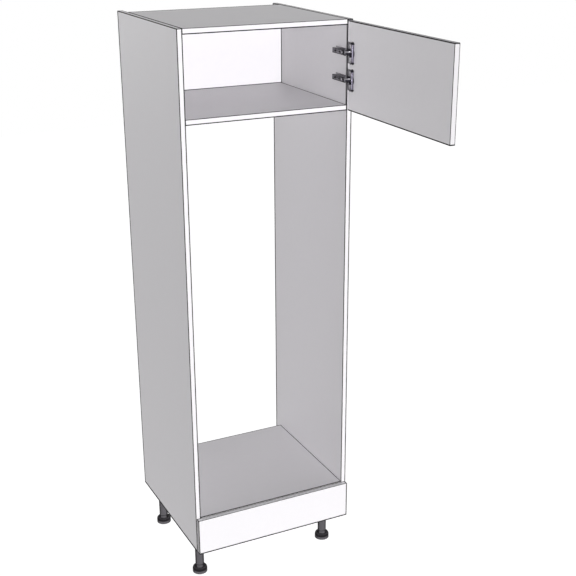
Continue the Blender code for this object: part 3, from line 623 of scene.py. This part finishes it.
def makeTube(name, centre, low, high):
    # a tube whose thick lower end holds the foot's stem, turned about its axis, less a groove
    # that is a smooth step of the height's distance from the groove's own
    outer, bore = tube["radius"], tube["bore"]
    nut, nutTop = foot["stemRadius"] + leg["fit"], low + tube["nutHeight"]
    topEdge, bottomEdge = tube["topEdge"], tube["bottomEdge"]
    profile = alongProfile([
        (bore, high), (outer - topEdge, high), (outer, high - topEdge),
        (outer, low + bottomEdge), (outer - bottomEdge, low), (nut, low), (nut, nutTop),
        (bore, nutTop), (bore, high)], tube["rowSpacing"])

    def groove(angle, radius, height):
        apart = np.abs(height - tube["grooveHeight"])
        return tube["grooveDepth"] * (1 - smoothStep(apart, *tube["grooveFade"])) * (
            radius > outer - leg["skin"])

    grid = turned(profile, centre, leg["columns"], groove)
    # painted shade: two flanks are darker, as are the top end and the groove
    angle, height = aroundAngles(leg["columns"]), profile[:, 1:]
    flank = smoothStep(-np.cos(2 * (angle - leg["turn"])), *tube["flankFade"])
    apart = np.abs(height - tube["grooveHeight"])
    shade = tube["plainShade"] - tube["flankShade"] * flank
    shade = shade - tube["lowFlankShade"] * flank * (height < tube["grooveHeight"])
    shade = shade - tube["topShade"] * smoothStep(height, *tube["topFade"])
    shade = shade - tube["grooveShade"] * (1 - smoothStep(apart, *tube["grooveShadeFade"]))
    return surfaceMesh(name, grid, np.clip(shade, 0, 1))


def makeFoot(name, centre):
    # stem, well, quarter-ellipse dome and upright rim in one profile, turned about the axis; the
    # stem's thread is a cosine that climbs one pitch a turn
    rim, height = foot["rim"], foot["height"]
    outer, top, bore = foot["radius"], foot["domeTopRadius"], foot["bore"]
    stem, stemTop, floor = foot["stemRadius"], foot["stemTop"], foot["floor"]
    threadEnd, edge, mouthEdge = stemTop - foot["stemEdge"], foot["edge"], foot["mouthEdge"]
    threadStart = floor + foot["threadFoot"][0]
    rise = np.linspace(np.pi / 2, 0, foot["domeRows"])
    dome = np.stack([top + (outer - top) * np.cos(rise),
                     rim + (height - rim) * np.sin(rise)], axis=-1)
    inside = alongProfile([
        (0, stemTop), (stem - foot["stemEdge"], stemTop), (stem, threadEnd)],
        foot["stemRowSpacing"])
    thread = alongProfile([(stem, threadEnd), (stem, threadStart)],
                          foot["threadPitch"] / foot["threadRows"])[1:]
    well = alongProfile([
        (stem, threadStart), (stem, floor), (bore, floor), (bore, height - mouthEdge),
        (bore + mouthEdge, height)], foot["wellRowSpacing"])[1:]
    base = alongProfile([
        (outer, rim), (outer, edge), (outer - edge, 0), (0, 0)], foot["baseRowSpacing"])[1:]
    profile = np.concatenate([inside, thread, well, dome, base])

    def shape(angle, radius, level):
        (footStart, footEnd), (headStart, headEnd) = foot["threadFoot"], foot["threadHead"]
        onStem = smoothStep(level, floor + footStart, floor + footEnd) * (
            1 - smoothStep(level, stemTop + headStart, stemTop + headEnd)) * (
            np.abs(radius - stem) < 1e-6)
        climb = 0.5 - 0.5 * np.cos(2 * np.pi * level / foot["threadPitch"] - angle)
        return foot["threadDepth"] * climb * onStem

    grid = turned(profile, centre, leg["columns"], shape)
    # painted light and shade: the rim's wall is lit between dark arrises, most on its front and
    # back;
    # the dome is dark beside the rim and greyer towards the tube
    angle, radius, level = aroundAngles(leg["columns"]), profile[:, :1], profile[:, 1:]
    lit = smoothStep(np.cos(2 * (angle - leg["turn"])), *foot["litFade"])
    wallStart, wallEnd = foot["wallFade"]
    upWall = smoothStep(level, *foot["lowFade"])
    wall = upWall * (1 - smoothStep(level, rim + wallStart, rim + wallEnd))
    crownStart, crownEnd = foot["crownFade"]
    crown = smoothStep(level, rim + crownStart, height + crownEnd) * (
        radius > top - foot["crownInset"])
    plain, more = foot["wallShade"]
    shade = foot["darkShade"] + (plain + more * lit) * wall
    shade = shade + foot["lowShade"] * lit * (1 - upWall) + foot["crownShade"] * crown
    return surfaceMesh(name, grid, np.clip(shade, 0, 1))


legPlastic = legPlasticMaterial()
for corner in ("front_left", "front_right", "rear_left", "rear_right"):
    low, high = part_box(corner + "_leg_tube")
    centre = ((low.x + high.x) / 2, (low.y + high.y) / 2)
    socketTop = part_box(corner + "_leg_socket")[1].z
    for part, mesh in (("socket", makeSocket("socket", centre, socketTop)),
                       ("tube", makeTube("tube", centre, low.z, high.z)),
                       ("foot", makeFoot("foot", centre))):
        nodeName = f"{corner}_leg_{part}"
        addPiece(nodeName + "_fine", mesh, nodeName, "leg_plastic", legPlastic)
print("legs built")


# Hinges: pressed nickel-plated steel cups and arms, turned screws with crossed recesses.
hinge = {
    "nickel": "#67656A",        # arm and plate
    "armMarks": (               # depth, half length, half height and colour; two painted shades, one painted highlight
        (0.0690, 0.0062, 0.0042, "#0E0D0F"), (0.0410, 0.0062, 0.0048, "#0E0D0F"),
        (0.0240, 0.0062, 0.0050, "#C8C6CB")),
    "armMarkFade": 0.75,        # where a mark starts to fade, as a share of its reach
    "armLines": (2.0, 3.5, 3.0, 4.5, 2.5, 2.4),  # as lineWidths, for painted shade on the arm's arrises
    "cover": "#8C8A90",
    # painted shade along the cover's outline
    "coverEdge": "#3A383F",
    "coverEdgeFade": (-0.0018, -0.0042),  # metres from the cover's outline
    "coverSide": "#787482",     # a little violet; painted shade on the free side
    "coverSideFade": (-0.6, -0.9),  # how far the surface faces away from the gap
    "coverSlotSide": -0.5,
    "coverBendFade": (0.15, 0.55),  # how far the surface faces up or down
    "coverSlotHalf": 0.0128,
    "bowl": "#2B2833",          # painted shade: the cup, dark as its inside, and the inner links
    "link": "#7D7B80",          # lighter than the nickel: a painted highlight
    "shadow": "#1C1A20",
    "screw": "#A7A5AB",
    "adjuster": "#1A191C",      # blackened
    "roughness": 0.30,
    "dullRoughness": 0.5,
    "linkRoughness": 0.42,
    "screwRoughness": 0.25,
    "adjusterRoughness": 0.35,
    "dullSpecular": 0.08,
    "cloudSize": 1 / 220,
    "cloudDetail": 2.0,
    "cloudRoughness": (-0.06, 0.08),
    "drawnSize": 0.0004,        # drawing marks, ten times as long as wide
    "drawnStretch": 0.1,
    "drawnDetail": 1.0,
    "drawnStrength": 0.08,
    "drawnHeight": 0.0001,
    "mergeDistance": 2e-6,
    "flatAngle": 1,             # degrees
    "arrisAngle": 35,
    "arrisSegments": 2,
}


def hingeSteelMaterial(name, colour, roughness, metallic=1.0):
    # nickel-plated pressed steel: a soft mirror, with faint clouding from the plating bath
    # and drawing marks along the length
    material, tree = newMaterial(name, {
        "Metallic": metallic, "Base Color": linearColour(colour),
        "Specular IOR Level": hinge["dullSpecular"]})
    place = objectPlace(tree)
    cloud = noise(tree, place, hinge["cloudSize"], hinge["cloudDetail"])
    smoother, rougher = hinge["cloudRoughness"]
    drawn = calculateVector(tree, "MULTIPLY", place, (1, hinge["drawnStretch"], 1))
    marks = noise(tree, drawn, hinge["drawnSize"], hinge["drawnDetail"])
    drive(tree, {
        "Roughness": remap(tree, cloud, 0.0, 1.0, roughness + smoother, roughness + rougher),
        "Normal": bump(tree, marks, hinge["drawnStrength"], hinge["drawnHeight"])})
    return material


def coverSteelMaterial():
    # nickel-plated pressed satin cover in painted light and shade: lit along its middle, violet on
    # its free side, dark where bends turn away: round its ends, along both long arrises, in its
    # slot
    material = hingeSteelMaterial("nickelPlatedCover", hinge["cover"], hinge["roughness"])
    tree = material.node_tree
    depth, height = split(tree, objectPlace(tree))[1:]
    side, rise = split(tree, addNode(tree, "ShaderNodeNewGeometry").outputs["True Normal"])[1:]
    outside, up = fromCover(tree, depth, height)
    crown = remap(tree, outside, *hinge["coverEdgeFade"])
    free = remap(tree, side, *hinge["coverSideFade"])
    face = blend(tree, crown, hinge["coverEdge"], hinge["cover"])
    face = blend(tree, free, face, hinge["coverSide"])
    slot = calculate(tree, "MULTIPLY",  # the slot's walls and the far wall's inside
                     calculate(tree, "LESS_THAN", up, hinge["coverSlotHalf"]),
                     calculate(tree, "GREATER_THAN", side, hinge["coverSlotSide"]))
    bend = remap(tree, calculate(tree, "ABSOLUTE", rise), *hinge["coverBendFade"])
    dark = calculate(tree, "MAXIMUM", slot, bend)
    lit = calculate(tree, "MAXIMUM", crown, free)
    drive(tree, {  # the parts painted dark mirror nothing
        "Base Color": blend(tree, dark, face, hinge["shadow"]),
        "Metallic": calculate(tree, "SUBTRACT", lit, dark, clamped=True)})
    return material


def armSteelMaterial(low, high):
    # nickel-plated pressed arm, with a painted highlight by the links, painted shade in the
    # recesses round its two screws and painted shade on its dull arrises
    material = hingeSteelMaterial("nickelPlatedArm", hinge["nickel"], hinge["roughness"])
    tree = material.node_tree
    place, colour, middle = objectPlace(tree), hinge["nickel"], (low[2] + high[2]) / 2
    line = arrisLine(tree, place, low, high, hinge["armLines"])
    for depth, halfLength, halfHeight, tone in hinge["armMarks"]:
        away = calculateVector(tree, "SUBTRACT", place, (0, depth, middle))
        share = calculateVector(tree, "MULTIPLY", away, (0, 1 / halfLength, 1 / halfHeight))
        mark = remap(tree, calculateVector(tree, "LENGTH", share), hinge["armMarkFade"], 1.0,
                     1.0, 0.0)
        colour = blend(tree, mark, colour, tone)
    drive(tree, {
        "Base Color": blend(tree, line, colour, hinge["shadow"]),
        "Metallic": calculate(tree, "SUBTRACT", 1.0, line)})
    return material


def softenedCopy(nodeName, width, *materials):
    # the node's own shape, merged, with rounded arrises; the second material is on the arrises
    mesh = nodes[nodeName].data.copy()
    mesh.materials.clear()
    shell = bmesh.new()
    shell.from_mesh(mesh)
    bmesh.ops.remove_doubles(shell, verts=shell.verts, dist=hinge["mergeDistance"])
    bmesh.ops.dissolve_limit(shell, angle_limit=math.radians(hinge["flatAngle"]),
                             verts=shell.verts, edges=shell.edges)
    for face in shell.faces:
        face.smooth = True
    shell.to_mesh(mesh)
    shell.free()
    piece = addPiece(nodeName + "_fine", mesh, nodeName, "hinge_steel", *materials)
    bevel = piece.modifiers.new("arris", "BEVEL")
    bevel.width = width
    bevel.segments = hinge["arrisSegments"]
    bevel.limit_method = "ANGLE"
    bevel.angle_limit = math.radians(hinge["arrisAngle"])
    bevel.material = len(materials) - 1
    bevel.harden_normals = True


screw = {
    "columns": 40,
    "headRows": 16,
    "headWall": 0.72,           # of the head's height; a low dome makes up the rest
    "recessReach": 0.62,        # of the head's radius, as are the next three
    "recessReachInner": 0.527,
    "recessHalfWidth": (0.078, 0.182),
    "recessDepth": 0.0011,
    "recessDepthShare": 0.7,    # of the head's height, at most
}
screws = {  # head radius, head height and shank radius
    "cup_screw_top": (0.0036, 0.0018, 0.0018),
    "cup_screw_bottom": (0.0036, 0.0018, 0.0018),
    "plate_screw_front": (0.0036, 0.0018, 0.0018),
    "plate_screw_rear": (0.0036, 0.0018, 0.0018),
    "depth_screw": (0.003, 0.0014, 0.002),
    "side_screw": (0.003, 0.0014, 0.002),
}


def screwMesh(name, seat, headRadius, head, shankRadius, length):
    # head: a low dome less a cross, whose depth is the product of two smooth steps across each
    # slot; below it a plain shank. The axis runs into the door or side, along +X
    share = np.linspace(0, 1, screw["headRows"])[:, None]
    angle = aroundAngles(screw["columns"])
    a, b = share * np.cos(angle), share * np.sin(angle)

    def slot(over, along):
        return (1 - smoothStep(np.abs(over), *screw["recessHalfWidth"])) * (
            1 - smoothStep(np.abs(along), screw["recessReachInner"], screw["recessReach"]))

    wall, depth = screw["headWall"], min(screw["recessDepth"], head * screw["recessDepthShare"])
    top = head * (wall + (1 - wall) * np.sqrt(np.clip(1 - share ** 2, 0, 1)))
    top = top - depth * np.maximum(slot(a, b), slot(b, a))
    dome = np.stack([seat[0] - top, seat[1] + headRadius * a, seat[2] + headRadius * b], axis=-1)
    below = np.array([(headRadius, 0.0), (shankRadius, 0.0), (shankRadius, length), (0, length)])
    rest = np.stack([
        seat[0] + below[:, 1:] + 0 * angle,
        seat[1] + below[:, :1] * np.cos(angle),
        seat[2] + below[:, :1] * np.sin(angle)], axis=-1)
    return surfaceMesh(name, np.concatenate([dome, rest]))


cup = {  # heights are out of the door's inner face
    "columns": 192,
    "sharpAngle": 50,
    "doorFace": 0.282,
    "radius": 0.0175,
    "bore": 0.0166,
    "floor": -0.0106,
    "bottom": -0.0115,
    "bottomEdge": 0.0016,
    "bowlFillet": ((0.0030, 0.0), (0.0009, 0.0004), (0.0, 0.0020)),  # inwards and up
    "rimTop": 0.00135,
    "rimEdge": 0.0003,
    "rimOuterEdge": 0.0002,
    "flangeTop": 0.0012,
    "flangeBottom": 0.0003,
    "flangeTopEdge": ((0.0004, 0.0), (0.0001, 0.0001), (0.0, 0.0004)),  # inwards and down
    "flangeBottomEdge": 0.0002,
    "flangeShares": (0.25, 0.5, 0.75),
    "flangeRadius": 0.018,
    "lobeRadius": 0.00975,
    "lobeCentre": 0.02425,
    "lobeOffset": 0.006,
    "outlineReach": 0.04,
    "outlineSteps": 1601,
    "toDoorEdge": 0.0395,       # from the flange's far end
    "reliefFront": 0.004,       # the links' way in, a box open to the door's edge
    "reliefLength": 0.0075,
    "reliefDepth": 0.0065,
    "reliefHalfHeight": 0.0072,
    "earSetback": (0.007, 0.014),
    "earHeights": (0.0072, 0.0090),
    "earTop": 0.0006,
    "earSink": 0.0002,
    "earCorner": 0.0012,
    "earArris": 0.0002,
}


def cupOutline(angle):
    # how far the flange reaches from the cup's axis: a disc and a round-ended bar joined, found
    # as the last of many steps along each ray that is still inside one of them
    step = np.linspace(0, cup["outlineReach"], cup["outlineSteps"])[None, :]
    up, out = np.cos(angle)[:, None] * step, np.sin(angle)[:, None] * step
    beyond = np.maximum(np.abs(up) - cup["lobeCentre"], 0)
    inside = (step <= cup["flangeRadius"]) | (
        np.hypot(beyond, out + cup["lobeOffset"]) <= cup["lobeRadius"])
    return (inside * step).max(axis=1)


def makeCup(name, low, high):
    # a profile carried round the cup's axis: bowl, rim, flange and outer wall, where on the
    # flange the radius goes from the cup's own to the flange's outline
    middleY, level = low.y + cup["flangeRadius"], (low.z + high.z) / 2
    angle = aroundAngles(cup["columns"])[0]
    edge = cupOutline(angle)[None, :]
    bore, outer, floor, bottom = cup["bore"], cup["radius"], cup["floor"], cup["bottom"]
    rim, rimEdge, top, under = cup["rimTop"], cup["rimEdge"], cup["flangeTop"], cup["flangeBottom"]
    rows = [(0, 0, floor)]  # own radius, share of the flange's outline, height
    rows += [(bore - inwards, 0, floor + up) for inwards, up in cup["bowlFillet"]]
    rows += [(bore, 0, rim - rimEdge), (bore + rimEdge, 0, rim),
             (outer - cup["rimOuterEdge"], 0, rim), (outer, 0, top)]
    rows += [(outer, share, top) for share in cup["flangeShares"]]
    rows += [(-inwards, 1, top - down) for inwards, down in cup["flangeTopEdge"]]
    rows += [(0, 1, under + cup["flangeBottomEdge"]), (-cup["flangeBottomEdge"], 1, under),
             (outer, 0, under), (outer, 0, bottom + cup["bottomEdge"]),
             (outer - cup["bottomEdge"], 0, bottom), (0, 0, bottom)]
    own, share, height = np.array(rows)[:, :, None].transpose(1, 0, 2)
    radius = np.where(share == 1, edge + own, own + (edge - own) * share)
    grid = np.stack([
        np.broadcast_to(cup["doorFace"] - height, radius.shape),
        middleY + radius * np.sin(angle), level + radius * np.cos(angle)], axis=-1)
    return surfaceMesh(name, grid, sharpAngle=cup["sharpAngle"])


def plateMesh(name, outline, low, high, arris):
    # an outline in X and Y carried up Z from low to high, drawn in by the arris at both ends
    outline = np.array(outline, float)
    middle = outline.mean(axis=0)
    inward = (middle - outline) / np.linalg.norm(middle - outline, axis=1, keepdims=True)
    rows = [(1, low), (arris, low), (0, low + arris), (0, high - arris), (arris, high), (1, high)]
    grid = []
    for draw, height in rows:
        flat = middle + 0 * outline if draw == 1 else outline + inward * draw
        grid.append(np.column_stack([flat, np.full(len(flat), height)]))
    return surfaceMesh(name, np.array(grid))


def roundedRectangle(low, high, radius, steps=6):
    # the corners' centres with a quarter circle about each
    corners = [(high[0], high[1], 0), (low[0], high[1], 1), (low[0], low[1], 2),
               (high[0], low[1], 3)]
    points = []
    for x, y, quarter in corners:
        turn = np.linspace(quarter, quarter + 1, steps) * np.pi / 2
        centre = (x - radius if quarter in (0, 3) else x + radius,
                  y - radius if quarter in (0, 1) else y + radius)
        points += list(zip(centre[0] + radius * np.cos(turn), centre[1] + radius * np.sin(turn)))
    return points


def cutAway(mesh, low, high):  # the mesh without the box low..high
    body = bpy.data.objects.new("body", mesh)
    centre, size = (np.array(low) + high) / 2, np.array(high) - low
    cutter = bpy.data.meshes.new("cutter")
    cube = bmesh.new()
    bmesh.ops.create_cube(cube, size=1.0)
    bmesh.ops.scale(cube, vec=size, verts=cube.verts)
    bmesh.ops.translate(cube, vec=centre, verts=cube.verts)
    cube.to_mesh(cutter)
    cube.free()
    tool = bpy.data.objects.new("tool", cutter)
    for item in (body, tool):
        scene.collection.objects.link(item)
    cut = body.modifiers.new("cut", "BOOLEAN")
    cut.object = tool
    cut.solver = "EXACT"
    result = bpy.data.meshes.new_from_object(
        body.evaluated_get(bpy.context.evaluated_depsgraph_get()))
    for item in (body, tool):
        bpy.data.objects.remove(item)
    return result


def joinMeshes(first, *others):
    both = bmesh.new()
    for mesh in (first, *others):
        both.from_mesh(mesh)
    both.to_mesh(first)
    both.free()
    return first


def finishedCup(low, high):
    # the cup, opened towards the door's edge for the links, with an ear on each side of them
    middle, face = (low.z + high.z) / 2, cup["doorFace"]
    doorEdge, halfHeight = low.y + cup["toDoorEdge"], cup["reliefHalfHeight"]
    bowl = cutAway(
        makeCup("cup", low, high),
        (face - cup["reliefFront"], doorEdge - cup["reliefLength"], middle - halfHeight),
        (face + cup["reliefDepth"], doorEdge, middle + halfHeight))
    near, far = (doorEdge - back for back in cup["earSetback"])
    outline = roundedRectangle(
        (face + cup["earTop"], far), (face - cup["floor"] + cup["earSink"], near),
        cup["earCorner"])
    ears = [
        plateMesh("ear", outline, *sorted(middle + side * height for height in cup["earHeights"]),
                  cup["earArris"]) for side in (1, -1)]
    return joinMeshes(bowl, *ears)


nickel = hingeSteelMaterial("nickelPlatedSteel", hinge["nickel"], hinge["roughness"])
# painted shade on the pressed pieces' arrises: dark and unmetallic
nickelArris = hingeSteelMaterial(
    "nickelPlatedArris", hinge["shadow"], hinge["dullRoughness"], metallic=0.0)
# painted shade: dark and unmetallic, for the cups and the inner links
nickelBowlShade = hingeSteelMaterial(
    "nickelPlatedBowlInShade", hinge["bowl"], hinge["dullRoughness"], metallic=0.0)
# painted highlight: the outer links lighter than the nickel
linkHighlightSteel = hingeSteelMaterial("steelLinkPaintedHighlight", hinge["link"], hinge["linkRoughness"])
screwZinc = hingeSteelMaterial("zincPlatedScrew", hinge["screw"], hinge["screwRoughness"])
blackenedSteel = hingeSteelMaterial(
    "blackenedSteelScrew", hinge["adjuster"], hinge["adjusterRoughness"])
nickelCover = coverSteelMaterial()
arrisWidths = {  # of the pressed pieces
    "cup_cover": 0.0008,
    "outer_link": 0.0005,
    "inner_link": 0.0005,
    "arm": 0.0009,
    "mounting_plate": 0.0009,
}
for level in ("upper", "lower"):
    nickelArm = armSteelMaterial(*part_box(level + "_hinge_arm"))
    for part, steel in (
            ("cup_cover", nickelCover), ("outer_link", linkHighlightSteel), ("inner_link", nickelBowlShade),
            ("arm", nickelArm), ("mounting_plate", nickel)):
        softenedCopy(f"{level}_hinge_{part}", arrisWidths[part], steel, nickelArris)
    cupName = f"{level}_hinge_cup"
    addPiece(cupName + "_fine", finishedCup(*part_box(cupName)), cupName, "hinge_steel", nickelBowlShade)
    for part in ("outer_pin", "inner_pin"):
        dress(f"{level}_hinge_{part}", screwZinc)
    for part, (headRadius, head, shankRadius) in screws.items():
        nodeName = f"{level}_hinge_{part}"
        low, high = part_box(nodeName)
        seat = (low.x + head, (low.y + high.y) / 2, (low.z + high.z) / 2)
        mesh = screwMesh("screw", seat, headRadius, head, shankRadius, high.x - low.x - head)
        finish = blackenedSteel if part in ("depth_screw", "side_screw") else screwZinc
        addPiece(nodeName + "_fine", mesh, nodeName, "hinge_steel", finish)
print("hinges built")


# Floor, light and camera
studio = {
    "floorSize": 16.0,
    "floorRoughness": 0.9,
    "floorColour": "#969698",
    "floorGlow": 0.93,
    "bounceColour": "#F2F2F2",
    "skyStrength": 0.26,        # soft light for everything; seen directly the sky is white
    "frontSun": 2.42,           # the lamps have no shadows, as in a flat shop drawing
    "rearSun": 1.20,
    "leftSun": 0.64,
    "rightSun": 0.56,
    "topSun": 0.31,
    "bottomSun": 0.30,
    "sunAngle": 20,             # degrees
}
sunTurns = {
    "frontSun": (90, 0, 0), "rearSun": (-90, 0, 0), "leftSun": (0, -90, 0),
    "rightSun": (0, 90, 0), "topSun": (0, 0, 0), "bottomSun": (180, 0, 0),
}
camera = {
    "sensor": 36,
    "lens": 69.022,
    "shift": (-0.02793, 0.05923),
    "place": (-1.48654, -3.14674, 2.37254),
    "tilt": 0.37859,            # downwards, radians
    "roll": -0.00137,
    "turn": -0.4704,
}


def seenDirectly(tree):  # 1 for camera, glossy and transmission rays
    path = addNode(tree, "ShaderNodeLightPath").outputs
    first = calculate(tree, "MAXIMUM", path["Is Camera Ray"], path["Is Glossy Ray"])
    return calculate(tree, "MAXIMUM", first, path["Is Transmission Ray"])


def makeFloor():
    half = studio["floorSize"] / 2
    mesh = bpy.data.meshes.new("floor")
    mesh.from_pydata([(-half, -half, 0), (half, -half, 0), (half, half, 0), (-half, half, 0)],
                     [], [(0, 1, 2, 3)])
    floor = bpy.data.objects.new("floor", mesh)
    scene.collection.objects.link(floor)
    # matte board that lights the object's underside and looks white by itself
    material, tree = newMaterial("matteStudioFloor", {
        "Roughness": studio["floorRoughness"], "Specular IOR Level": 0.0,
        "Emission Color": (1, 1, 1, 1)})
    seen = seenDirectly(tree)
    drive(tree, {
        "Base Color": blend(tree, seen, studio["bounceColour"], studio["floorColour"]),
        "Emission Strength": calculate(tree, "MULTIPLY", seen, studio["floorGlow"])})
    mesh.materials.append(material)


def makeSky():
    world = bpy.data.worlds.new("studioSky")
    scene.world = world
    world.use_nodes = True
    tree = world.node_tree
    background = tree.nodes["Background"]
    strength = addNode(tree, "ShaderNodeMix", {
        0: seenDirectly(tree), 2: studio["skyStrength"], 3: 1.0})
    tree.links.new(strength.outputs[0], background.inputs["Strength"])
    background.inputs["Color"].default_value = (1, 1, 1, 1)


def addSun(name, turn):
    lamp = bpy.data.lights.new(name, "SUN")
    lamp.energy = studio[name]
    lamp.angle = math.radians(studio["sunAngle"])
    lamp.use_shadow = False
    sun = bpy.data.objects.new(name, lamp)
    sun.rotation_euler = [math.radians(degrees) for degrees in turn]
    scene.collection.objects.link(sun)


def makeCamera():
    data = bpy.data.cameras.new("camera")
    data.sensor_width = camera["sensor"]
    data.lens = camera["lens"]
    data.shift_x, data.shift_y = camera["shift"]
    eye = bpy.data.objects.new("camera", data)
    eye.location = camera["place"]
    eye.rotation_euler = (math.pi / 2 - camera["tilt"], camera["roll"], camera["turn"])
    scene.collection.objects.link(eye)
    scene.camera = eye


makeFloor()
makeSky()
for name, turn in sunTurns.items():
    addSun(name, turn)
makeCamera()
scene.view_settings.view_transform = "Standard"
print("studio ready")
